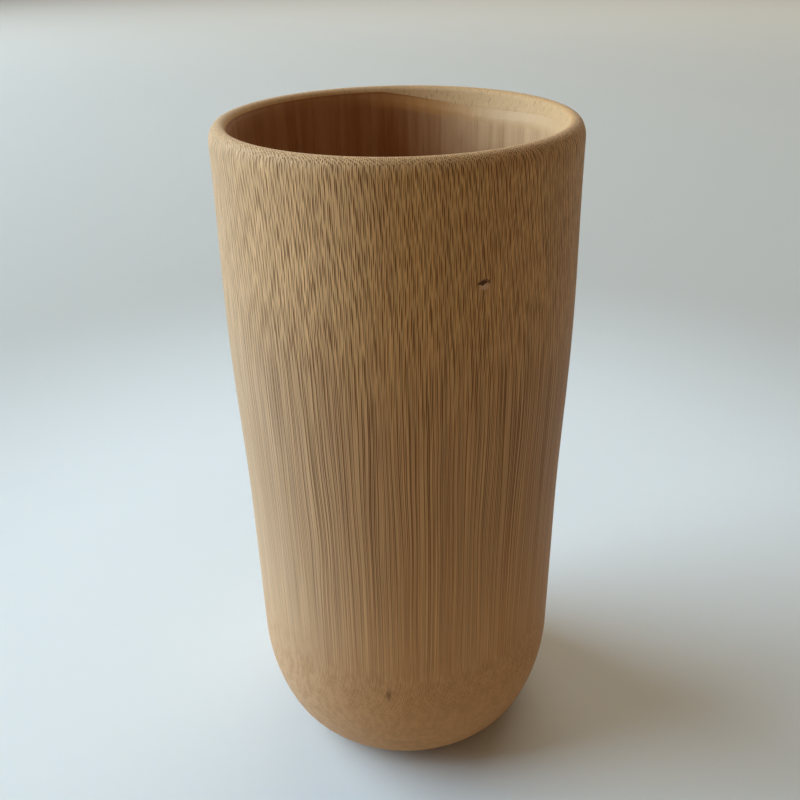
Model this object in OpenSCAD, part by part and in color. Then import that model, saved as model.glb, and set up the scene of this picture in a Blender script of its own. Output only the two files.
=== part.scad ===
// Bamboo cup, turned from one length of culm that ends just below a node.
// It stands on the plane z = 0, and every surface turns about the Z axis.
// The wall, the thin skin of the hollow and the septum that closes the node
// are three tissues of the cane. They meet face to face, as they grew.

/* [Culm] */
// Height of the cup, from the foot to the top of the lip
cup_h = 150; // [130:1:180]
// Outside diameter of the straight body
body_d = 73; // [66:0.5:88]
// Thickness of the body, with the skin of the hollow in it
wall_t = 4.2; // [4:0.1:6]
// How far the swell below the mouth stands out from the body
swell_out = 0.85; // [0.2:0.05:2]
// Distance from the lip down to the widest place of the swell
swell_drop = 42; // [34:1:52]
// Length over which the body widens into the swell
swell_run = 46; // [30:1:54]

/* [Mouth] */
// How far the lip stands out from the straight body
lip_out = 0.3; // [0:0.1:0.6]
// Width of the round on the outside of the lip
shoulder_w = 2.2; // [1.6:0.1:2.6]
// Height of that round
shoulder_h = 3.4; // [2:0.1:5]
// Radius of the round on the inside of the lip
lip_in_r = 1.3; // [0.8:0.1:1.6]
// Depth of the bevel inside the mouth, from the top of the lip
bevel_h = 4.5; // [3:0.1:8]

/* [Foot] */
// Radius of the long curve that draws the body in above the foot
flare_r = 48; // [40:1:70]
// Height of the top of that curve above the foot
flare_h = 26; // [22:1:30]
// Radius of the tighter curve that rolls under to the foot
corner_r = 14; // [10:0.5:18]
// Width of the flat ring that the cup stands on
foot_ring_w = 4; // [2.5:0.1:6]
// Radius of the ring's inner edge
foot_edge_r = 0.8; // [0.3:0.1:1]
// Depth of the hollow inside the ring
recess_h = 1.5; // [1.1:0.1:3]

/* [Node] */
// Thickness of the papery skin that lines the hollow
skin_t = 0.6; // [0.4:0.1:0.9]
// Height of the inside floor above the foot, at the edge of its dish
floor_z = 10; // [8.5:0.1:14]
// How much lower the floor is in its middle
floor_dish = 0.8; // [0.2:0.1:2]
// Height of the curve between the floor and the wall
floor_curve_h = 8; // [7:0.5:12]
// How far the septum reaches out under that curve
septum_lap = 3; // [1:0.1:4]
// Thickness of the foot ring under the edge of the septum
ledge_t = 4; // [3.2:0.1:5]
// Width of the wood left outside the edge of the septum
seat_wall_t = 2.85; // [2.4:0.05:4]

/* [Hidden] */
$fn = 96;

// Facets of each curve in an outline
corner_steps = 9;
flare_steps = 14;
swell_steps = 12;
shoulder_steps = 8;
lip_steps = 7;
seat_steps = 9;
lap_steps = 3;
dish_steps = 4;
edge_steps = 4;

// Radii of the body, of the finished hollow and of the bore behind its skin
body_r = body_d / 2;
cavity_r = body_r - wall_t;
bore_r = cavity_r + skin_t;

// Places of the swell
swell_z = cup_h - swell_drop;
swell_r = body_r + swell_out;
swell_start_z = swell_z - swell_run;

// Centres of the lip's two rounds, which meet at its top
lip_r = body_r + lip_out;
shoulder_c = [lip_r - shoulder_w, cup_h - shoulder_h];
lip_c = [lip_r - shoulder_w, cup_h - lip_in_r];

// The bevel is the line that leaves the inner round without a corner and
// ends on the hollow's surface
bevel_end = [cavity_r, cup_h - bevel_h];
bevel_run = bevel_end - lip_c;
bevel_angle = atan2(bevel_run[1], bevel_run[0]) - acos(lip_in_r / norm(bevel_run)) + 360;
bevel_start = lip_c + lip_in_r * [cos(bevel_angle), sin(bevel_angle)];
bevel_share = (bevel_start[0] - bore_r) / (bevel_start[0] - cavity_r);
bevel_mid = bevel_start + bevel_share * (bevel_end - bevel_start);

// The long curve's centre, and the foot's flat radius, at which the tighter
// curve touches both the ground and the long curve
flare_c = [body_r - flare_r, flare_h];
foot_r = flare_c[0] + sqrt(pow(flare_r - corner_r, 2) - pow(flare_h - corner_r, 2));
corner_c = [foot_r, corner_r];
touch_angle = atan2(corner_c[1] - flare_c[1], corner_c[0] - flare_c[0]);

// Seat of the septum, set in from the tighter curve at the height of the ledge
ledge_reach = sqrt(pow(corner_r, 2) - pow(corner_r - ledge_t, 2));
seat_r = foot_r + ledge_reach - seat_wall_t;
hole_r = foot_r - foot_ring_w;

// The floor's curve, from inside the seat up to the wall of the hollow, and
// the same curve under the skin that lies in it
rim_z = floor_z + floor_curve_h;
floor_edge_r = seat_r - septum_lap;
floor_c = [floor_edge_r, rim_z];
floor_curve = [cavity_r - floor_edge_r, floor_curve_h];
under_curve = floor_curve + [skin_t, skin_t];

// Place where the edge of the septum meets the skin
seat_angle = -acos(septum_lap / under_curve[0]);
seat_top = floor_c + [under_curve[0] * cos(seat_angle), under_curve[1] * sin(seat_angle)];

// Dish of the floor: flat in its middle, then an arc up to the floor's curve
flat_share = 0.45;
flat_r = flat_share * floor_edge_r;
dish_w = floor_edge_r - flat_r;
dish_r = (pow(dish_w, 2) + pow(floor_dish, 2)) / (2 * floor_dish);
dish_c = [flat_r, floor_z - floor_dish + dish_r];
dish_angle = asin(dish_w / dish_r);

// Points of an arc of an ellipse with the given half sizes, both ends left out
function oval_arc(centre, half, from, to, steps) =
    [for (i = [1:steps - 1])
        let (a = from + (to - from) * i / steps)
        centre + [half[0] * cos(a), half[1] * sin(a)]];

// Points of an arc of a circle, both ends left out
function arc(centre, radius, from, to, steps) =
    oval_arc(centre, [radius, radius], from, to, steps);

// Smooth step from 0 to 1
function ease(t) = (1 - cos(180 * t)) / 2;

// Points of a smooth stretch between two places, both ends left out
function smooth_run(low, high, steps) =
    [for (i = [1:steps - 1])
        [low[0] + (high[0] - low[0]) * ease(i / steps),
         low[1] + (high[1] - low[1]) * i / steps]];

// Outside of the cup, from the foot up over the lip to the bevel
outside_line = concat(
    [[foot_r, 0]],
    arc(corner_c, corner_r, -90, touch_angle, corner_steps),
    [flare_c + flare_r * [cos(touch_angle), sin(touch_angle)]],
    arc(flare_c, flare_r, touch_angle, 0, flare_steps),
    [[body_r, flare_h], [body_r, swell_start_z]],
    smooth_run([body_r, swell_start_z], [swell_r, swell_z], swell_steps),
    [[swell_r, swell_z]],
    smooth_run([swell_r, swell_z], [lip_r, shoulder_c[1]], swell_steps),
    [[lip_r, shoulder_c[1]]],
    oval_arc(shoulder_c, [shoulder_w, shoulder_h], 0, 90, shoulder_steps),
    [[lip_c[0], cup_h]],
    arc(lip_c, lip_in_r, 90, bevel_angle, lip_steps),
    [bevel_start]);

// Inside of the wall behind the skin, down to the septum's seat
bore_line = concat(
    [bevel_mid, [bore_r, rim_z]],
    oval_arc(floor_c, under_curve, 0, seat_angle, seat_steps),
    [seat_top, [seat_r, ledge_t]]);

// Ring of the foot, from the septum's seat down to the ground
ring_line = concat(
    [[hole_r, ledge_t], [hole_r, foot_edge_r]],
    arc([hole_r + foot_edge_r, foot_edge_r], foot_edge_r, 180, 270, edge_steps),
    [[hole_r + foot_edge_r, 0]]);

// Turned fibre wall, with its lip, its mouth bevel and the ring of the foot
module culm_wall() {
    color([0.73, 0.57, 0.37])
        rotate_extrude()
            polygon(concat(outside_line, bore_line, ring_line));
}

// Papery skin of the hollow, which curves in over the edge of the septum and
// is cut to a thin edge by the bevel of the mouth
module pith_lining() {
    color([0.62, 0.43, 0.25])
        rotate_extrude()
            polygon(concat(
                [bevel_end, [cavity_r, rim_z]],
                oval_arc(floor_c, floor_curve, 0, -90, seat_steps + lap_steps),
                [[floor_edge_r, floor_z], [floor_edge_r, floor_z - skin_t]],
                oval_arc(floor_c, under_curve, -90, seat_angle, lap_steps),
                [seat_top],
                oval_arc(floor_c, under_curve, seat_angle, 0, seat_steps),
                [[bore_r, rim_z], bevel_mid]));
}

// Septum of the node: a disc that rests on the ring of the foot
module node_diaphragm() {
    color([0.80, 0.66, 0.46])
        rotate_extrude()
            polygon(concat(
                [[0, recess_h], [hole_r, recess_h], [hole_r, ledge_t], [seat_r, ledge_t], seat_top],
                oval_arc(floor_c, under_curve, seat_angle, -90, lap_steps),
                [[floor_edge_r, floor_z - skin_t], [floor_edge_r, floor_z]],
                arc(dish_c, dish_r, dish_angle - 90, -90, dish_steps),
                [[flat_r, floor_z - floor_dish], [0, floor_z - floor_dish]]));
}

culm_wall();
pith_lining();
node_diaphragm();
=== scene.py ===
# Bamboo cup: one length of cane, turned to a tumbler round its own axis. It stands on the plane z = 0
# with its mouth up. Lengths are in metres, angles in degrees, unless a comment says otherwise.
import math

import bmesh
import bpy
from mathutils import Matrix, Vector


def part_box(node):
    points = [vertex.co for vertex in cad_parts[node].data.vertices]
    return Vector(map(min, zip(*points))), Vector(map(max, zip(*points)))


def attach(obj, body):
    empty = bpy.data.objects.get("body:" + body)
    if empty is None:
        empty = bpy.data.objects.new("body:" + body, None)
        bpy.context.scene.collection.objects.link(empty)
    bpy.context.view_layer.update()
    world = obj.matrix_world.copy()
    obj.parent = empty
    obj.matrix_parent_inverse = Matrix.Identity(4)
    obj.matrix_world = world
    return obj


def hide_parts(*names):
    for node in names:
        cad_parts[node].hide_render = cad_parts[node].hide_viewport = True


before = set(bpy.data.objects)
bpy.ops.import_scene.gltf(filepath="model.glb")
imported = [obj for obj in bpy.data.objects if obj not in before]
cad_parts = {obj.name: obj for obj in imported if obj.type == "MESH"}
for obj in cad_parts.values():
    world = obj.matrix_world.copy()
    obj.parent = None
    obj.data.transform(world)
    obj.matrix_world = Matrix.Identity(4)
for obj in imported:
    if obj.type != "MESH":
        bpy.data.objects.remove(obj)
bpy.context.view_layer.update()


# Culm wall
# The fibre wall of the cane, with its hard rind shaved off on the lathe. The same cut rounds the lip,
# bevels the mouth and rolls the base under to a narrow ring. It is sanded and wiped with a thin oil.
MM = 0.001
wall_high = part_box("culm_wall")[1]
skin_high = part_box("pith_lining")[1]
septum_low, septum_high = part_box("node_diaphragm")
cup_height = wall_high.z

swell_out, swell_drop, swell_run = 0.85 * MM, 42 * MM, 46 * MM
body_radius = wall_high.x - swell_out
swell_height = cup_height - swell_drop
swell_start = swell_height - swell_run

lip_out, lip_inner_round = 0.3 * MM, 1.3 * MM
lip_radius = body_radius + lip_out
shoulder_width, shoulder_height = 2.2 * MM, 3.4 * MM
bevel_depth = 4.5 * MM

flare_radius, flare_height = 48 * MM, 26 * MM
corner_radius = 14 * MM
ring_width, ring_edge = 4 * MM, 0.8 * MM
ledge_height = 4 * MM

skin_thickness = 0.6 * MM
bore_radius = skin_high.x
cavity_radius = bore_radius - skin_thickness
seat_radius = septum_high.x
septum_lap = 3 * MM
septum_edge = seat_radius - septum_lap
floor_height, curve_height = 10 * MM, 8 * MM
curve_width = cavity_radius - septum_edge
curve_centre = (septum_edge, floor_height + curve_height)
under_width, under_height = curve_width + skin_thickness, curve_height + skin_thickness

SEGMENTS = 384


def polar(centre, width, height, degrees):
    """A place on an upright ellipse, as (radius, height)."""
    turn = math.radians(degrees)
    return (centre[0] + width * math.cos(turn), centre[1] + height * math.sin(turn))


def arc(centre, width, height, start, end, steps):
    """Places along an upright elliptic arc, both ends included."""
    return [polar(centre, width, height, start + (end - start) * i / steps) for i in range(steps + 1)]


def swelling(low, high, steps):
    """Places along a smooth widening or narrowing of the body, the lower end left out."""
    places = []
    for i in range(1, steps + 1):
        part = i / steps
        ease = (1 - math.cos(math.pi * part)) / 2
        places.append((low[0] + (high[0] - low[0]) * ease, low[1] + (high[1] - low[1]) * part))
    return places


def straight(first, last, steps):
    """Places along a straight line, the first end left out."""
    inner = [tuple(a + (b - a) * i / steps for a, b in zip(first, last)) for i in range(1, steps)]
    return inner + [last]


# The base: a tight round from the ground, then the long round up to the straight body
flare_centre = (body_radius - flare_radius, flare_height)
foot_radius = flare_centre[0] + math.sqrt(
    (flare_radius - corner_radius) ** 2 - (flare_height - corner_radius) ** 2
)
corner_centre = (foot_radius, corner_radius)
touch_turn = math.degrees(math.atan2(corner_radius - flare_height, foot_radius - flare_centre[0]))
corner_line = arc(corner_centre, corner_radius, corner_radius, -90, touch_turn, steps=14)
flare_line = arc(flare_centre, flare_radius, flare_radius, touch_turn, 0, steps=24)[1:]

# The lip: an outer and an inner round, and the bevel that leaves the inner one without a corner
shoulder_centre = (lip_radius - shoulder_width, cup_height - shoulder_height)
lip_centre = (lip_radius - shoulder_width, cup_height - lip_inner_round)
bevel_end = (cavity_radius, cup_height - bevel_depth)
run_r, run_z = bevel_end[0] - lip_centre[0], bevel_end[1] - lip_centre[1]
bevel_turn = (
    360
    + math.degrees(math.atan2(run_z, run_r))
    - math.degrees(math.acos(lip_inner_round / math.hypot(run_r, run_z)))
)
bevel_start = polar(lip_centre, lip_inner_round, lip_inner_round, bevel_turn)
bevel_lean = (bevel_start[0] - bevel_end[0]) / (bevel_start[1] - bevel_end[1])
bevel_middle = (bore_radius, bevel_start[1] - (bevel_start[0] - bore_radius) / bevel_lean)

# The hollow of a cane is never quite round, so the level bevel meets it higher on one side than on the
# other: (waves round the mouth, how much deeper the bevel then goes, where it is deepest)
HOLLOW_WAVES = (
    (1, 1.10 * MM, -16),
    (2, 1.15 * MM, 42),
    (3, 0.45 * MM, -30),
    (4, 0.55 * MM, -37),
)
DEPTH_AT_REST = 0.5 * MM
BORE_WAVE_LIMIT = 0.4 * MM
INNER_WAVE_LIMIT = 0.72 * MM
# The waves die away this far below the lip
WAVE_REACH = 16 * MM
# The cane is also a little oval: narrower by this share in the direction of the angle
OVAL_SHARE, OVAL_TURN = 0.004, 65
# Clouds of the ripple in one radian round the hollow and in one metre of its height
RIPPLE_CLOUDS = 14
# How near two places are that count as one, when a turned shape is closed and when it is cleaned
WELD_REACH, SLIVER = 1e-6, 1e-7


def half_outline(name, places):
    """Half of a turned piece's outline as a line of points. Each place is (radius, height, how far it
    follows the wave of the hollow's surface, of the bore behind it, and how it climbs as it does)."""
    mesh = bpy.data.meshes.new(name)
    whole = [tuple(place) + (0.0,) * (5 - len(place)) for place in places]
    mesh.from_pydata([(place[0], 0, place[1]) for place in whole], [], [])
    for column, label in ((2, "with_hollow"), (3, "with_bore"), (4, "climb")):
        layer = mesh.attributes.new(label, "FLOAT", "POINT")
        layer.data.foreach_set("value", [place[column] for place in whole])
    return mesh


class Socket:
    """A socket of a node tree. Arithmetic on it adds Math nodes, and node() adds any other node."""

    def __init__(self, tree, socket=None):
        self.tree = tree
        self.socket = socket

    def node(self, kind, settings=None, inputs=None, output=0):
        made = self.tree.nodes.new(kind)
        for name, value in (settings or {}).items():
            setattr(made, name, value)
        for key, value in (inputs or {}).items():
            if isinstance(value, Socket):
                self.tree.links.new(value.socket, made.inputs[key])
            else:
                made.inputs[key].default_value = value
        return Socket(self.tree, made.outputs[output])

    def other(self, output):
        """Another output of the node that this socket belongs to."""
        return Socket(self.tree, self.socket.node.outputs[output])

    def math(self, operation, *values):
        return self.node("ShaderNodeMath", {"operation": operation}, dict(enumerate(values)))

    def __add__(self, other):
        return self.math("ADD", self, other)

    def __radd__(self, other):
        return self.math("ADD", other, self)

    def __sub__(self, other):
        return self.math("SUBTRACT", self, other)

    def __rsub__(self, other):
        return self.math("SUBTRACT", other, self)

    def __mul__(self, other):
        return self.math("MULTIPLY", self, other)

    def __rmul__(self, other):
        return self.math("MULTIPLY", other, self)

    def __truediv__(self, other):
        return self.math("DIVIDE", self, other)

    def __rtruediv__(self, other):
        return self.math("DIVIDE", other, self)

    def __pow__(self, other):
        return self.math("POWER", self, other)

    def rise(self, low, high):
        """0 where the value is at low, 1 where it is at high, and smooth between them."""
        return self.node(
            "ShaderNodeMapRange",
            {"interpolation_type": "SMOOTHSTEP"},
            {"Value": self, "From Min": low, "From Max": high},
        )

    def fall(self, low, high):
        """1 where the value is at low, 0 where it is at high, and smooth between them."""
        return 1 - self.rise(low, high)

    def span(self, low, high):
        """Values from low to high as this one goes from 0 to 1."""
        return self * (high - low) + low

    def vector(self, x, y, z):
        return self.node("ShaderNodeCombineXYZ", None, {"X": x, "Y": y, "Z": z})

    def noise(self, x, y, z, detail):
        """Cloudy noise, about 0.5 on average, whose clouds are about one unit wide."""
        return self.node(
            "ShaderNodeTexNoise", None, {"Vector": self.vector(x, y, z), "Scale": 1.0, "Detail": detail}
        )

    def blend(self, factor, first, second, kind="MIX"):
        """Two colours mixed by a factor. A Mix node takes them at inputs 6 and 7 and gives output 2."""
        settings = {"data_type": "RGBA", "blend_type": kind}
        return self.node("ShaderNodeMix", settings, {0: factor, 6: first, 7: second}, 2)

    def coated(self, colour, where, share=1.0):
        """This colour under another one, which covers it by the given share where the mask is 1."""
        return self.blend(where * share, self, colour)


def lathe_tree():
    """Geometry nodes that turn a half-outline round the cane's axis, as the lathe does."""
    tree = bpy.data.node_groups.new("turned_on_cane_axis", "GeometryNodeTree")
    for label, kind in (
        ("Half outline", "NodeSocketGeometry"),
        ("Segments", "NodeSocketInt"),
        ("Oval share", "NodeSocketFloat"),
        ("Oval turn", "NodeSocketFloat"),
        ("Ripple depth", "NodeSocketFloat"),
        ("Finish", "NodeSocketMaterial"),
    ):
        tree.interface.new_socket(label, in_out="INPUT", socket_type=kind)
    tree.interface.new_socket("Turned piece", in_out="OUTPUT", socket_type="NodeSocketGeometry")
    start = Socket(tree)
    outline = start.node("NodeGroupInput")
    segments = outline.other("Segments")
    points = start.node("GeometryNodeAttributeDomainSize", {"component": "MESH"}, {"Geometry": outline})
    grid = start.node("GeometryNodeMeshGrid", None, {"Vertices X": segments + 1, "Vertices Y": points})
    index = start.node("GeometryNodeInputIndex")
    column = start.math("FLOOR", (index + 0.5) / points)
    row = index - column * points
    turn = column / segments * (2 * math.pi)

    def sampled(value, kind):
        return start.node(
            "GeometryNodeSampleIndex",
            {"data_type": kind, "domain": "POINT"},
            {"Geometry": outline, "Value": value, "Index": row},
        )

    def weight(label):
        named = start.node("GeometryNodeInputNamedAttribute", {"data_type": "FLOAT"}, {"Name": label})
        return sampled(named, "FLOAT")

    place = sampled(start.node("GeometryNodeInputPosition"), "FLOAT_VECTOR")
    radius = start.node("ShaderNodeSeparateXYZ", None, {0: place})
    height = radius.other("Z")

    depth = -DEPTH_AT_REST
    for waves, deeper, deepest in HOLLOW_WAVES:
        depth = start.math("COSINE", (turn - math.radians(deepest)) * waves) * deeper + depth
    wave = depth * -bevel_lean
    with_hollow, with_bore, climb = weight("with_hollow"), weight("with_bore"), weight("climb")
    out = start.math("MINIMUM", wave, INNER_WAVE_LIMIT) * with_hollow
    out = out + start.math("MINIMUM", wave, BORE_WAVE_LIMIT) * with_bore

    cosine, sine = start.math("COSINE", turn), start.math("SINE", turn)
    ripple_place = [value * RIPPLE_CLOUDS for value in (cosine, sine, height)]
    ripple = start.noise(*ripple_place, detail=3.0) - 0.5
    out = out + ripple * outline.other("Ripple depth") * with_hollow
    narrow = start.math("COSINE", (turn - outline.other("Oval turn")) * 2) * 0.5 + 0.5
    radius = (radius + out) * (1 - outline.other("Oval share") * narrow)
    moved = start.vector(radius * cosine, radius * sine, height + out * climb)
    shape = start.node("GeometryNodeSetPosition", None, {"Geometry": grid, "Position": moved})
    for label, value in (("with_bore", with_bore), ("climb", climb)):
        shape = start.node(
            "GeometryNodeStoreNamedAttribute",
            {"data_type": "FLOAT", "domain": "POINT"},
            {"Geometry": shape, "Name": label, "Value": value},
        )
    shape = start.node("GeometryNodeMergeByDistance", None, {"Geometry": shape, "Distance": WELD_REACH})
    shape = start.node("GeometryNodeSetShadeSmooth", None, {"Geometry": shape})
    shape = start.node("GeometryNodeRealizeInstances", None, {"Geometry": shape})
    finish = outline.other("Finish")
    shape = start.node("GeometryNodeSetMaterial", None, {"Geometry": shape, "Material": finish})
    end = tree.nodes.new("NodeGroupOutput")
    tree.links.new(shape.socket, end.inputs[0])
    return tree


on_lathe = lathe_tree()


def turned(name, places, finish, crisp, ripple=0.0):
    """A piece of the cup turned from its half-outline, as a plain mesh with its faces outwards. An edge
    stays sharp where the surface turns by more than crisp degrees."""
    blank = bpy.data.objects.new(name + ".blank", half_outline(name + ".blank", places))
    bpy.context.collection.objects.link(blank)
    lathe = blank.modifiers.new("lathe", "NODES")
    lathe.node_group = on_lathe
    given = {
        "Segments": SEGMENTS,
        "Oval share": OVAL_SHARE,
        "Oval turn": math.radians(OVAL_TURN),
        "Ripple depth": ripple,
        "Finish": finish,
    }
    for socket in on_lathe.interface.items_tree:
        if socket.name in given:
            lathe[socket.identifier] = given[socket.name]
    shape = bpy.data.meshes.new_from_object(blank.evaluated_get(bpy.context.evaluated_depsgraph_get()))
    bpy.data.objects.remove(blank)
    mesh = bmesh.new()
    mesh.from_mesh(shape)
    bmesh.ops.dissolve_degenerate(mesh, edges=mesh.edges, dist=SLIVER)
    bmesh.ops.recalc_face_normals(mesh, faces=mesh.faces)
    for edge in mesh.edges:
        edge.smooth = edge.calc_face_angle(math.pi) < math.radians(crisp)
    mesh.to_mesh(shape)
    mesh.free()
    shape.name = name
    piece = bpy.data.objects.new(name, shape)
    bpy.context.collection.objects.link(piece)
    return piece


def paint(red, green, blue):
    """A colour given in 0 to 255 as it looks, as Blender's linear colour."""
    parts = [part / 255 for part in (red, green, blue)]
    return tuple(p / 12.92 if p <= 0.04045 else ((p + 0.055) / 1.055) ** 2.4 for p in parts) + (1.0,)


def new_finish(name):
    """An empty material: its tree as a Socket, and its shader."""
    finish = bpy.data.materials.new(name)
    finish.use_nodes = True
    return finish, Socket(finish.node_tree), finish.node_tree.nodes["Principled BSDF"]


def dress(shader, start, colour, roughness, relief):
    """Links a surface's colour, roughness and relief (in millimetres) to its shader."""
    bump = start.node("ShaderNodeBump", None, {"Height": relief, "Distance": MM})
    for value, label in ((colour, "Base Color"), (roughness, "Roughness"), (bump, "Normal")):
        start.tree.links.new(value.socket, shader.inputs[label])


def place_in_mm(start):
    """The place on the piece in millimetres, as x, y and z."""
    place = start.node("ShaderNodeTexCoord", output="Object")
    scaled = start.node("ShaderNodeVectorMath", {"operation": "SCALE"}, {0: place, "Scale": 1 / MM})
    x = start.node("ShaderNodeSeparateXYZ", None, {0: scaled})
    return x, x.other("Y"), x.other("Z")


def distance(x, y):
    """How far a place is from the middle, as from the cane's axis or from the middle of a spot."""
    return (x * x + y * y) ** 0.5


def clouds(place, across, along, detail):
    """Noise about 0.5 on average, with so many clouds in a millimetre across the cane and along it."""
    x, y, z = place
    return x.noise(x * across, y * across, z * along, detail)


BUNDLE_LOOSENESS = 0.7


def bundles(x, y, pitch, loose=BUNDLE_LOOSENESS):
    """Fibre bundles, seen where the surface cuts them: distance from the nearest bundle's middle, in
    pitches, and a number from 0 to 1 that is that bundle's own. Loose ones stand less in rows."""
    cells = x.node(
        "ShaderNodeTexVoronoi",
        {"voronoi_dimensions": "2D", "feature": "F1"},
        {"Vector": x.vector(x, y, 0.0), "Scale": 1 / pitch, "Randomness": loose},
        "Distance",
    )
    return cells, x.node("ShaderNodeSeparateColor", None, {0: cells.other("Color")})


CANE_PALE, CANE_TAN, CANE_RED = paint(208, 154, 90), paint(200, 143, 80), paint(199, 139, 82)
CANE_ROSE, BASE_AMBER, FOOT_BROWN = paint(187, 132, 80), paint(192, 130, 70), paint(144, 90, 38)
CANE_PAINTED_GLARE, CANE_PAINTED_LIGHT = paint(215, 192, 164), paint(252, 204, 148)
MOUTH_PALE, MOUTH_GREY = paint(218, 184, 140), paint(160, 128, 94)
BUNDLE_DARK, SHEATH_PALE = paint(98, 48, 0), paint(216, 173, 112)
NICK_DARK, NICK_PALE = paint(88, 46, 14), paint(212, 166, 130)

# All sizes of the cane's finish are in millimetres. These are the heights over which its colours change
ROSE_BELOW, AMBER_BELOW, BROWN_BELOW = (98, 122), (14, 90), (26, 48)
GLARE_ABOVE, LIT_PATCH_ABOVE = (6, 60), (108, 134)
FIBRES_ABOVE, BUNDLES_ABOVE = (24, 56), (14, 90)
# Places to the left of its middle, between which painted glare of the window's light turns it paler, and
# a patch of painted light rises and falls again
GLARE_LEFT, LIT_PATCH_FROM, LIT_PATCH_TO = (-4, 34), (-1, 17), (20, 36)
# The mouth: how deep the lip's pale round (partly its own colour, partly painted sheen) and the pale
# inside go, and the radii that part in from out
LIP_PALE_DEPTH, MOUTH_DEPTH, MOUTH_EDGE_DEPTH = 3, 12, 20
INNER_SIDE = (33.2, 34.8)
MOUTH_SHARE, LIP_SHARE = 0.8, 0.45

# The fibre bundles run straight up the cane, in columns round it and in layers from its outside in. The
# lathe's cut drifts through the layers above and below the middle of the body: the bundles that it
# crosses slowly show as long lines, the others as dashes
BUNDLE_COLUMNS, LAYER_PITCH, COLUMN_LOOSENESS = 700, 0.5, 0.3
STAGGER_SHARE, STAGGER_CHANCE = 0.618, 0.12
# The heights above which the marks are dashes and below which they are dots, and how fast the cut drifts
# there. Clouds in the wood and the lip's outer round bend it too, and the columns sway a little
DASHES_FROM, DASHES_SOFT, DASHES_RAGGED = 109, 8, 15
DASH_DRIFT, DASH_DRIFT_GAIN = 0.046, 0.0005
DOTS_BELOW, DOT_DRIFT = 37, 0.010
CLOUD_DRIFT_ABOVE, SMALL_DRIFT_ABOVE, SMALL_DRIFT = (80, 125), (90, 120), 0.28
LIP_DRIFT_MOST, LIP_DRIFT_SHARE = 0.6, 0.85
SWAY_TURN = 0.06

# Each bundle has a dark core in a pale sheath: where these begin and end, in columns from its middle, and
# how its own number makes the core dark. Cores are fainter on the left, on the upper body further round,
# as painted glare of the window's light
CORE_EDGE, SHEATH_INNER, SHEATH_OUTER = (0.17, 0.43), (0.24, 0.36), (0.40, 0.56)
CORE_CHANCE = (-1.1, 0.4)
UPPER_BODY, FAINT_FROM, FAINT_HIGHER, FAINT_TO, FAINT_SHARE = (70, 112), 8, 12, 37, 0.4
# The coarser bundles of the bevel
COARSE_PITCH, COARSE_EDGE, COARSE_CHANCE = 1.15, (0.10, 0.30), (0.2, 0.8)
# Fine fibres: clouds in one radian round the cane, through one millimetre of layers and along it
FIBRES_ROUND, FIBRES_INWARD, FIBRES_ALONG = 150, 1.1, 0.03
# Levels of the noise between which bands, tints and mottles begin and end
BAND_EDGE, TINT_EDGE, MOTTLE_EDGE = (0.34, 0.66), (0.38, 0.64), (0.34, 0.66)
TINT_ACROSS, TINT_ALONG, TINT_APART = 0.3, 0.012, 40

# Spots on the front, as places across and up it
NICK_PLACE, SCAR_PLACE, SPECK_PLACE = (14.6, 128.0), (14.8, 127.1), (-4.3, 29.9)
FRONT_SIDE = (-30, -20)
FIBRE_RELIEF, SHEATH_RELIEF, CORE_GROOVE, NICK_DEPTH = 0.02, 0.012, 0.03, 0.12
CANE_ROUGHNESS, CORE_ROUGHNESS, FIBRE_ROUGHNESS = 0.52, 0.25, 0.1


def columns_of_bundles(turn, layer):
    """Fibre bundles that stand in columns round the cane, layer behind layer, each column staggered
    against the one beside it: what bundles() gives, with distances in columns."""
    column = turn * (BUNDLE_COLUMNS / (2 * math.pi))
    number = turn.math("FLOOR", column)
    chance = turn.node("ShaderNodeTexWhiteNoise", {"noise_dimensions": "1D"}, {"W": number})
    shift = number * STAGGER_SHARE + chance * STAGGER_CHANCE
    return bundles(column, layer / LAYER_PITCH + shift, pitch=1.0, loose=COLUMN_LOOSENESS)


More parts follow.
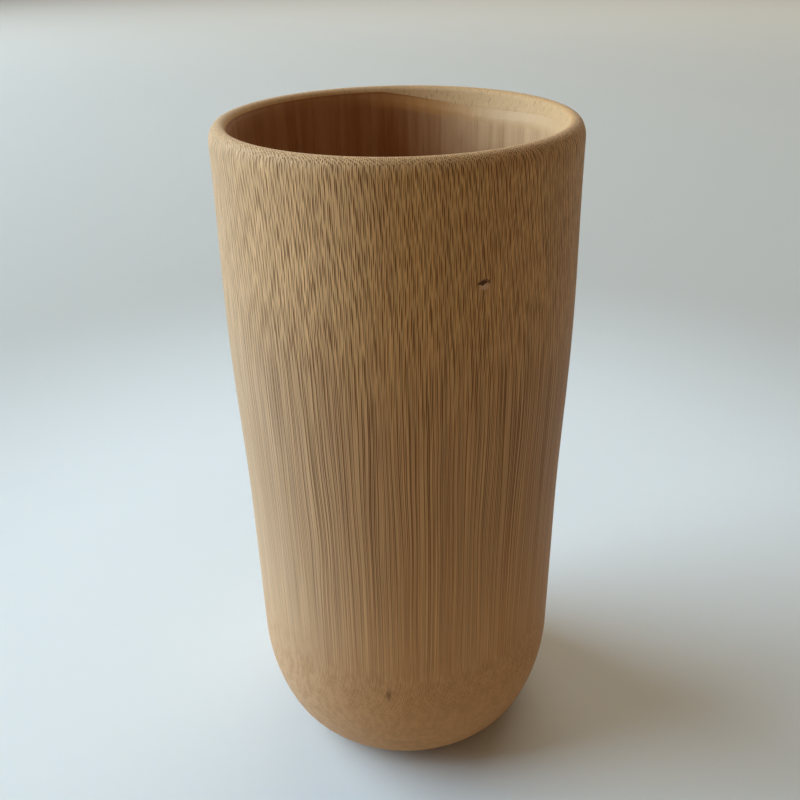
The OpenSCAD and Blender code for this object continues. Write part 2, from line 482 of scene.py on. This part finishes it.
def cane_finish():
    finish, start, shader = new_finish("culm_fibre")
    x, y, z = place_in_mm(start)
    radius = distance(x, y)
    left = x * -1
    top, shoulder = cup_height / MM, shoulder_centre[1] / MM

    # The layer of bundles that the cut has reached here
    cloud = clouds((x, y, z), across=0.06, along=0.045, detail=1.0) - 0.5
    small = clouds((x, y, z), across=0.45, along=0.1, detail=1.0) - 0.5
    above = z - DASHES_FROM + cloud * DASHES_RAGGED
    above = ((above * above + DASHES_SOFT ** 2) ** 0.5 + above) * 0.5
    below = start.math("MAXIMUM", DOTS_BELOW - z, 0.0)
    drift = above * (above * -DASH_DRIFT_GAIN - DASH_DRIFT) - below ** 2 * DOT_DRIFT
    drift = drift - z.rise(swell_start / MM, swell_height / MM) * (swell_out / MM)
    drift = drift + z.rise(swell_height / MM, shoulder) * ((wall_high.x - lip_radius) / MM)
    drift = drift + cloud * z.rise(*CLOUD_DRIFT_ABOVE) + small * z.rise(*SMALL_DRIFT_ABOVE) * SMALL_DRIFT
    bend = start.math("MAXIMUM", z - shoulder, 0.0) / (shoulder_height / MM)
    bend = start.math("MAXIMUM", 1 - bend * bend, 0.0) ** 0.5
    lip_drift = start.math("MINIMUM", (1 - bend) * (shoulder_width / MM), LIP_DRIFT_MOST)
    layer = radius + (drift + lip_drift * LIP_DRIFT_SHARE)

    # The bundles themselves
    sway = clouds((x, y, z), across=0.12, along=0.02, detail=1.0)
    turn = start.math("ARCTAN2", x, y * -1) + sway * SWAY_TURN
    near, own = columns_of_bundles(turn, layer)
    # Painted glare: the cores are weakened on the left, where the window's light falls
    cores_under_glare = 1 - left.rise(z.rise(*UPPER_BODY) * FAINT_HIGHER + FAINT_FROM, FAINT_TO) * FAINT_SHARE
    core = near.fall(*CORE_EDGE) * own.rise(*CORE_CHANCE) * cores_under_glare
    core_shown = core * z.rise(*BUNDLES_ABOVE).span(0.06, 0.9)
    sheath = near.rise(*SHEATH_INNER) * near.fall(*SHEATH_OUTER)

    # Fine fibres and broad bands run the whole length of the cane
    reach = layer / radius
    deep_x, deep_y = x * reach, y * reach
    fibre_place = (x / radius * FIBRES_ROUND, y / radius * FIBRES_ROUND)
    fibre = start.noise(*fibre_place, layer * FIBRES_INWARD + z * FIBRES_ALONG, detail=1.0) - 0.5
    band = clouds((deep_x, deep_y, z), across=0.4, along=0.010, detail=2.0)
    tint_place = (deep_x * TINT_ACROSS + TINT_APART, deep_y * TINT_ACROSS, z * TINT_ALONG)
    tint = start.noise(*tint_place, detail=1.0)
    mottle = clouds((deep_x, deep_y, z), across=0.8, along=0.22, detail=1.5)

    # The ground between the bundles
    ground = start.blend(band.rise(*BAND_EDGE).span(0.2, 0.8), CANE_TAN, CANE_PALE)
    ground = ground.coated(CANE_RED, tint.rise(*TINT_EDGE), share=0.4)
    ground = ground.coated(CANE_ROSE, z.fall(*ROSE_BELOW), share=0.8)
    ground = ground.coated(BASE_AMBER, z.fall(*AMBER_BELOW), share=0.65)
    # Painted light: the left side is painted paler and greyer as the window's glare, and a patch high on
    # its left front paler still
    ground = ground.coated(CANE_PAINTED_GLARE, left.rise(*GLARE_LEFT) * z.rise(*GLARE_ABOVE).span(0.34, 0.58))
    painted_light_patch = left.rise(*LIT_PATCH_FROM) * left.rise(*LIT_PATCH_TO).span(1, 0.15)
    ground = ground.coated(CANE_PAINTED_LIGHT, painted_light_patch * z.rise(*LIT_PATCH_ABOVE), share=0.5)
    ground = ground.coated(FOOT_BROWN, mottle.rise(*MOTTLE_EDGE) * z.fall(*BROWN_BELOW), share=0.34)
    mouth = radius.fall(*INNER_SIDE) * z.rise(top - MOUTH_EDGE_DEPTH, top - MOUTH_DEPTH)
    # The lip is painted paler: partly its own pale colour and partly painted sheen
    lip_pale_and_sheen = z.rise(top - LIP_PALE_DEPTH, top)
    pale = start.math("MAXIMUM", mouth * MOUTH_SHARE, lip_pale_and_sheen * LIP_SHARE)
    ground = ground.coated(MOUTH_PALE, pale)
    ground = ground.coated(SHEATH_PALE, sheath, share=0.45)
    light = 1 + fibre * z.rise(*FIBRES_ABOVE).span(0.1, 0.9) * mouth.span(1, 0.2)
    light = start.node("ShaderNodeCombineColor", None, {0: light, 1: light, 2: light})
    ground = start.blend(1.0, ground, light, "MULTIPLY")

    # The bundles' dark cores over it, and the coarser ones that the bevel cuts across
    colour = ground.coated(BUNDLE_DARK, core_shown * mouth.span(1, 0.15))
    coarse, coarse_own = bundles(deep_x, deep_y, COARSE_PITCH)
    coarse_core = coarse.fall(*COARSE_EDGE) * coarse_own.rise(*COARSE_CHANCE)
    colour = colour.coated(MOUTH_GREY, coarse_core * mouth, share=0.4)

    # Two small faults of the cane, both on its front: a nick high up, and a dark speck above the foot
    front = y.fall(*FRONT_SIDE)
    fray = clouds((x, y, z), across=1.8, along=1.8, detail=2.0) - 0.5

    def spot(place, width, height, soft, rough=0.0):
        over, up = (x - place[0]) / width, (z - place[1] + fray * rough) / height
        return distance(over, up).fall(1 - soft, 1 + soft) * front

    nick = spot(NICK_PLACE, width=1.1, height=0.3, soft=0.3, rough=1.4)
    scar = spot(SCAR_PLACE, width=0.8, height=0.55, soft=0.5)
    speck = spot(SPECK_PLACE, width=0.5, height=1.5, soft=0.8, rough=1.6)
    colour = colour.coated(NICK_PALE, scar, share=0.75)
    colour = colour.coated(NICK_DARK, nick)
    colour = colour.coated(NICK_DARK, speck, share=0.55)

    relief = fibre * FIBRE_RELIEF + sheath * SHEATH_RELIEF - core_shown * CORE_GROOVE - nick * NICK_DEPTH
    roughness = CANE_ROUGHNESS + core * CORE_ROUGHNESS + fibre * FIBRE_ROUGHNESS
    dress(shader, start, colour, roughness, relief)
    shader.inputs["Specular IOR Level"].default_value = 0.15
    shader.inputs["Sheen Weight"].default_value = 0.08
    shader.inputs["Sheen Roughness"].default_value = 0.5
    return finish


# Places of the outline, from the foot up over the lip and down the bore behind the skin
climb = 1 / bevel_lean
wave_end = cup_height - WAVE_REACH
body_foot, body_top = (body_radius, flare_height), (body_radius, swell_start)
swell_top, shoulder_foot = (wall_high.x, swell_height), (lip_radius, shoulder_centre[1])
bevel_top, bevel_cut = (*bevel_start, 0, 0, climb), (*bevel_middle, 0, 1, climb)
bore_top, bore_foot = (bore_radius, wave_end, 0, 1, 0), (bore_radius, curve_centre[1], 0, 0, 0)
hole_radius = foot_radius - ring_width
ring_centre = (hole_radius + ring_edge, ring_edge)
seat_turn = -math.degrees(math.acos(septum_lap / under_width))

wall_places = corner_line + flare_line
wall_places += straight(body_foot, body_top, steps=8)
wall_places += swelling(body_top, swell_top, steps=16)
wall_places += swelling(swell_top, shoulder_foot, steps=16)
wall_places += arc(shoulder_centre, shoulder_width, shoulder_height, 0, 90, steps=12)[1:]
wall_places += arc(lip_centre, lip_inner_round, lip_inner_round, 90, bevel_turn, steps=9)[1:]
wall_places += straight(bevel_top, bevel_cut, steps=7)
wall_places += straight(bevel_cut, bore_top, steps=5)
wall_places += straight(bore_top, bore_foot, steps=6)[:-1]
wall_places += arc(curve_centre, under_width, under_height, 0, seat_turn, steps=8)
wall_places += [(seat_radius, ledge_height), (hole_radius, ledge_height)]
wall_places += arc(ring_centre, ring_edge, ring_edge, 180, 270, steps=6)
wall_places += straight(wall_places[-1], wall_places[0], steps=3)

cane_wall = turned("cane_wall", wall_places, cane_finish(), crisp=28)
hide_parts("culm_wall")
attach(cane_wall, "root")


# Skin of the hollow
# The papery layer that lined the living cane. It is left on inside, oiled with the rest, and follows the
# fluted surface of the hollow. The mouth bevel cuts it to a thin ochre edge.
# Painted light and shade: its right side, where the window's light falls inside, is painted lighter and
# greyer, and its left side darker
SKIN_SHADED_TAN, SKIN_LIT_GREY, SKIN_DARK = paint(153, 98, 53), paint(215, 176, 132), paint(124, 70, 32)
SKIN_OCHRE, SKIN_LIT_EDGE = paint(196, 142, 78), paint(208, 174, 130)
RIPPLE_DEPTH = 0.35 * MM

# Where its colours change from the left to the right of the hollow, in millimetres: painted shade on the
# left and painted light on the right
LIGHT_RIGHT, OCHRE_RIGHT, LIT_EDGE_RIGHT, SHADE_LEFT = (-1, 20), (-12, 8), (8, 24), (-2, 14)
# Shares of the slant of the bevel's edge, and of the cut behind it, at which the edge's colours begin
EDGE_SHARES, CUT_SHARES = (0.86, 0.98), (0.7, 1.0)
STREAK_EDGE, FLUTE_EDGE, CLOUD_EDGE = (0.35, 0.65), (0.5, 0.8), (0.45, 0.75)
FLUTE_RELIEF, STREAK_RELIEF = 0.05, 0.1
SKIN_ROUGHNESS, FLUTE_ROUGHNESS = 0.5, 0.2


def skin_finish():
    finish, start, shader = new_finish("hollow_skin")
    x, y, z = place_in_mm(start)
    streak = clouds((x, y, z), across=0.5, along=0.02, detail=2.0)
    flute = clouds((x, y, z), across=1.6, along=0.04, detail=2.0) - 0.5
    cloud = clouds((x, y, z), across=0.1, along=0.08, detail=2.0)
    # Mostly painted light and shade by the side of the hollow, with a little of the skin's own streaks
    streaks_and_painted_light = streak.rise(*STREAK_EDGE) * 0.2 + x.rise(*LIGHT_RIGHT) * 0.8
    colour = start.blend(streaks_and_painted_light, SKIN_SHADED_TAN, SKIN_LIT_GREY)
    colour = colour.coated(SKIN_DARK, (0.5 - flute).rise(*FLUTE_EDGE), share=0.25)
    colour = colour.coated(SKIN_DARK, cloud.rise(*CLOUD_EDGE), share=0.25)

    # The edge under the bevel, marked by how the surface climbs there and how it follows the bore
    slant = start.node("ShaderNodeAttribute", {"attribute_name": "climb"}, output="Fac") / climb
    cut = start.node("ShaderNodeAttribute", {"attribute_name": "with_bore"}, output="Fac")
    edge = slant.rise(*EDGE_SHARES)
    # The ochre edge is painted stronger and paler on the right as painted light, and painted shade
    # darkens the cut on the left
    colour = colour.coated(SKIN_OCHRE, edge * x.rise(*OCHRE_RIGHT).span(0.1, 0.65))
    colour = colour.coated(SKIN_LIT_EDGE, edge * x.rise(*LIT_EDGE_RIGHT), share=0.7)
    colour = colour.coated(SKIN_DARK, cut.rise(*CUT_SHARES) * x.fall(*SHADE_LEFT), share=0.5)

    relief = flute * FLUTE_RELIEF + streak * STREAK_RELIEF
    dress(shader, start, colour, SKIN_ROUGHNESS + flute * FLUTE_ROUGHNESS, relief)
    shader.inputs["Specular IOR Level"].default_value = 0.25
    shader.inputs["Sheen Weight"].default_value = 0.15
    shader.inputs["Sheen Roughness"].default_value = 0.5
    return finish


bevel_foot = (*bevel_end, 1, 0, climb)
hollow_top = (cavity_radius, wave_end, 1, 0, 0)
hollow_foot = (cavity_radius, curve_centre[1], 0, 0, 0)

skin_places = [hollow_foot]
skin_places += straight(hollow_foot, hollow_top, steps=10)
skin_places += straight(hollow_top, bevel_foot, steps=6)
skin_places += straight(bevel_foot, bevel_cut, steps=4)
skin_places += straight(bevel_cut, bore_top, steps=5)
skin_places += straight(bore_top, bore_foot, steps=6)[:-1]
skin_places += arc(curve_centre, under_width, under_height, 0, -90, steps=12)
skin_places += arc(curve_centre, curve_width, curve_height, -90, 0, steps=12)

hollow_skin = turned("hollow_skin", skin_places, skin_finish(), crisp=60, ripple=RIPPLE_DEPTH)
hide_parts("pith_lining")
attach(hollow_skin, "root")


# Septum
# The wall that closes a cane at each node, here the floor of the cup. Its grain runs every way, so it is
# harder to cut than the wall. It is sanded to a shallow dish above, and stays clear of the table below.
SEPTUM_PALE, SEPTUM_TAN, SEPTUM_DARK = paint(212, 176, 126), paint(190, 148, 98), paint(132, 90, 50)
recess_height = septum_low.z
dish_depth = 0.8 * MM
FLAT_SHARE = 0.45
flat_radius = FLAT_SHARE * septum_edge
dish_radius = ((septum_edge - flat_radius) ** 2 + dish_depth ** 2) / (2 * dish_depth)
dish_centre = (flat_radius, floor_height - dish_depth + dish_radius)
dish_turn = math.degrees(math.asin((septum_edge - flat_radius) / dish_radius))

# How far the grain is twisted, and the pitch of the bundles in it, in millimetres
TWIST, SEPTUM_PITCH = 7, 1.0
# Its threads: clouds in one millimetre across them and along them
THREADS_ACROSS, THREADS_ALONG = 2.6, 0.5
DOT_EDGE, DOT_CHANCE = (0.10, 0.32), (0.2, 0.8)
GRAIN_EDGE, THREAD_EDGE = (0.36, 0.66), (0.08, 0.25)
GRAIN_RELIEF, THREAD_RELIEF, DOT_GROOVE = 0.12, 0.05, 0.03
SEPTUM_ROUGHNESS, DOT_ROUGHNESS = 0.55, 0.2


def septum_finish():
    finish, start, shader = new_finish("septum")
    x, y, z = place_in_mm(start)
    bend = clouds((x, y, z), across=0.16, along=0.16, detail=2.0)
    bend = start.node("ShaderNodeSeparateColor", None, {0: bend.other("Color")})
    twist_x, twist_y = x + bend * TWIST, y + bend.other("Green") * TWIST
    grain = clouds((twist_x, twist_y, z), across=0.5, along=0.5, detail=4.0)
    thread_place = (twist_x * THREADS_ACROSS, twist_y * THREADS_ALONG, z * THREADS_ALONG)
    thread = start.noise(*thread_place, detail=2.0) - 0.5
    near, own = bundles(twist_x, twist_y, SEPTUM_PITCH)
    dot = near.fall(*DOT_EDGE) * own.rise(*DOT_CHANCE)
    colour = start.blend(grain.rise(*GRAIN_EDGE), SEPTUM_TAN, SEPTUM_PALE)
    colour = colour.coated(SEPTUM_DARK, thread.rise(*THREAD_EDGE), share=0.4)
    colour = colour.coated(SEPTUM_DARK, dot, share=0.5)
    relief = grain * GRAIN_RELIEF + thread * THREAD_RELIEF - dot * DOT_GROOVE
    dress(shader, start, colour, SEPTUM_ROUGHNESS + dot * DOT_ROUGHNESS, relief)
    return finish


recess_middle, recess_rim = (0, recess_height), (hole_radius, recess_height)
flat_rim, floor_middle = (flat_radius, floor_height - dish_depth), (0, floor_height - dish_depth)

septum_places = [recess_middle]
septum_places += straight(recess_middle, recess_rim, steps=12)
septum_places += [(hole_radius, ledge_height), (seat_radius, ledge_height)]
septum_places += arc(curve_centre, under_width, under_height, seat_turn, -90, steps=4)
septum_places += arc(dish_centre, dish_radius, dish_radius, dish_turn - 90, -90, steps=6)
septum_places += straight(flat_rim, floor_middle, steps=6)

node_septum = turned("node_septum", septum_places, septum_finish(), crisp=28)
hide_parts("node_diaphragm")
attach(node_septum, "root")


# Table
# A large table top, matt and slightly translucent, which lies just under the foot. It is round, so that
# it looks the same from every side, and its greys even out the window's light. They are painted light
# and shade: darker farther from the cup as a room's light falls off, paler again at the far rim, and
# darker by the window.
TABLE_RADIUS = 4.0
TABLE_DROP = 0.1 * MM
TABLE_PALE, TABLE_FAR, TABLE_RIM = paint(225, 229, 229), paint(186, 186, 181), paint(228, 226, 218)
TABLE_BY_WINDOW = paint(150, 150, 146)
# Distances from the cup over which these colours change, in millimetres
FAR_REACH, RIM_REACH, WINDOW_REACH = (120, 330), (900, 2700), (800, 2000)

disc = bmesh.new()
bmesh.ops.create_circle(disc, cap_ends=True, segments=96, radius=TABLE_RADIUS)
bmesh.ops.translate(disc, verts=disc.verts, vec=(0, 0, -TABLE_DROP))
table_mesh = bpy.data.meshes.new("table")
disc.to_mesh(table_mesh)
disc.free()
table = bpy.data.objects.new("table", table_mesh)
bpy.context.collection.objects.link(table)

table_finish, table_start, table_shader = new_finish("table_top")
table_x, table_y = place_in_mm(table_start)[:2]
table_reach = distance(table_x, table_y)
table_colour = table_start.blend(table_reach.rise(*FAR_REACH), TABLE_PALE, TABLE_FAR)
table_colour = table_colour.coated(TABLE_RIM, table_reach.rise(*RIM_REACH))
table_colour = table_colour.coated(TABLE_BY_WINDOW, (table_x * -1).rise(*WINDOW_REACH))
table_start.tree.links.new(table_colour.socket, table_shader.inputs["Base Color"])
table_shader.inputs["Roughness"].default_value = 0.75
table_shader.inputs["Specular IOR Level"].default_value = 0.3
table_shader.inputs["Subsurface Weight"].default_value = 0.7
table_shader.inputs["Subsurface Radius"].default_value = (1.0, 0.9, 0.8)
table_shader.inputs["Subsurface Scale"].default_value = 6 * MM
table_mesh.materials.append(table_finish)


# Light
# A wide window to the left, a weaker light from above and behind, and a dim warm room all round. The
# room itself looks pale to the camera, and in gloss and glass.
ROOM_TONE, ROOM_STRENGTH = (1.0, 0.70, 0.42), 0.175
ROOM_PALE = paint(186, 187, 183)


def lamp(name, turn, rise, reach, size, power, tone):
    """A square soft light that faces the cup from a turn round it, a rise above it and a reach."""
    light = bpy.data.lights.new(name, "AREA")
    light.shape, light.size = "SQUARE", size
    light.energy, light.color = power, tone
    stand = bpy.data.objects.new(name, light)
    bpy.context.collection.objects.link(stand)
    stand.rotation_euler = (math.radians(90 - rise), 0, math.radians(turn + 90))
    away = stand.rotation_euler.to_matrix().col[2] * reach
    stand.location = (away.x, away.y, away.z + cup_height / 2)


lamp("window", turn=170, rise=31, reach=2.3, size=2.12, power=96, tone=(0.66, 0.84, 1.0))
lamp("back_light", turn=75, rise=45, reach=2.4, size=2.2, power=19, tone=(0.94, 0.90, 0.76))

room = bpy.data.worlds.new("room")
bpy.context.scene.world = room
room.use_nodes = True
room_shader = room.node_tree.nodes["Background"]
room_start = Socket(room.node_tree)
ray = room_start.node("ShaderNodeLightPath")
ray = ray + ray.other("Is Glossy Ray") + ray.other("Is Transmission Ray")
seen_ray = room_start.math("MINIMUM", ray, 1.0)
room_light = tuple(part * ROOM_STRENGTH for part in ROOM_TONE) + (1.0,)
room_colour = room_start.blend(seen_ray, room_light, ROOM_PALE)
room.node_tree.links.new(room_colour.socket, room_shader.inputs["Color"])
room_shader.inputs["Strength"].default_value = 1.0


# Camera
# Held in front of the cup and a little above its mouth, looking down at it and rolled slightly. The lens
# is given by its focal length in pixels of a square picture.
IMAGE_SIDE = 800
FOCAL_PIXELS = 875
SENSOR_WIDTH = 36.0
LOOK_DOWN, ROLL = 28.84, 1.14
CAMERA_PLACE = (-0.42 * MM, -177.3 * MM, 183.8 * MM)

lens = bpy.data.cameras.new("photo_view")
lens.sensor_width = SENSOR_WIDTH
lens.lens = FOCAL_PIXELS / IMAGE_SIDE * SENSOR_WIDTH
camera = bpy.data.objects.new("photo_view", lens)
bpy.context.collection.objects.link(camera)
camera.location = CAMERA_PLACE
camera.rotation_mode = "XYZ"
camera.rotation_euler = (math.radians(90 - LOOK_DOWN), 0, 0)
camera.rotation_euler.rotate_axis("Z", math.radians(-ROLL))
bpy.context.scene.camera = camera

bpy.context.scene.view_settings.view_transform = "Standard"
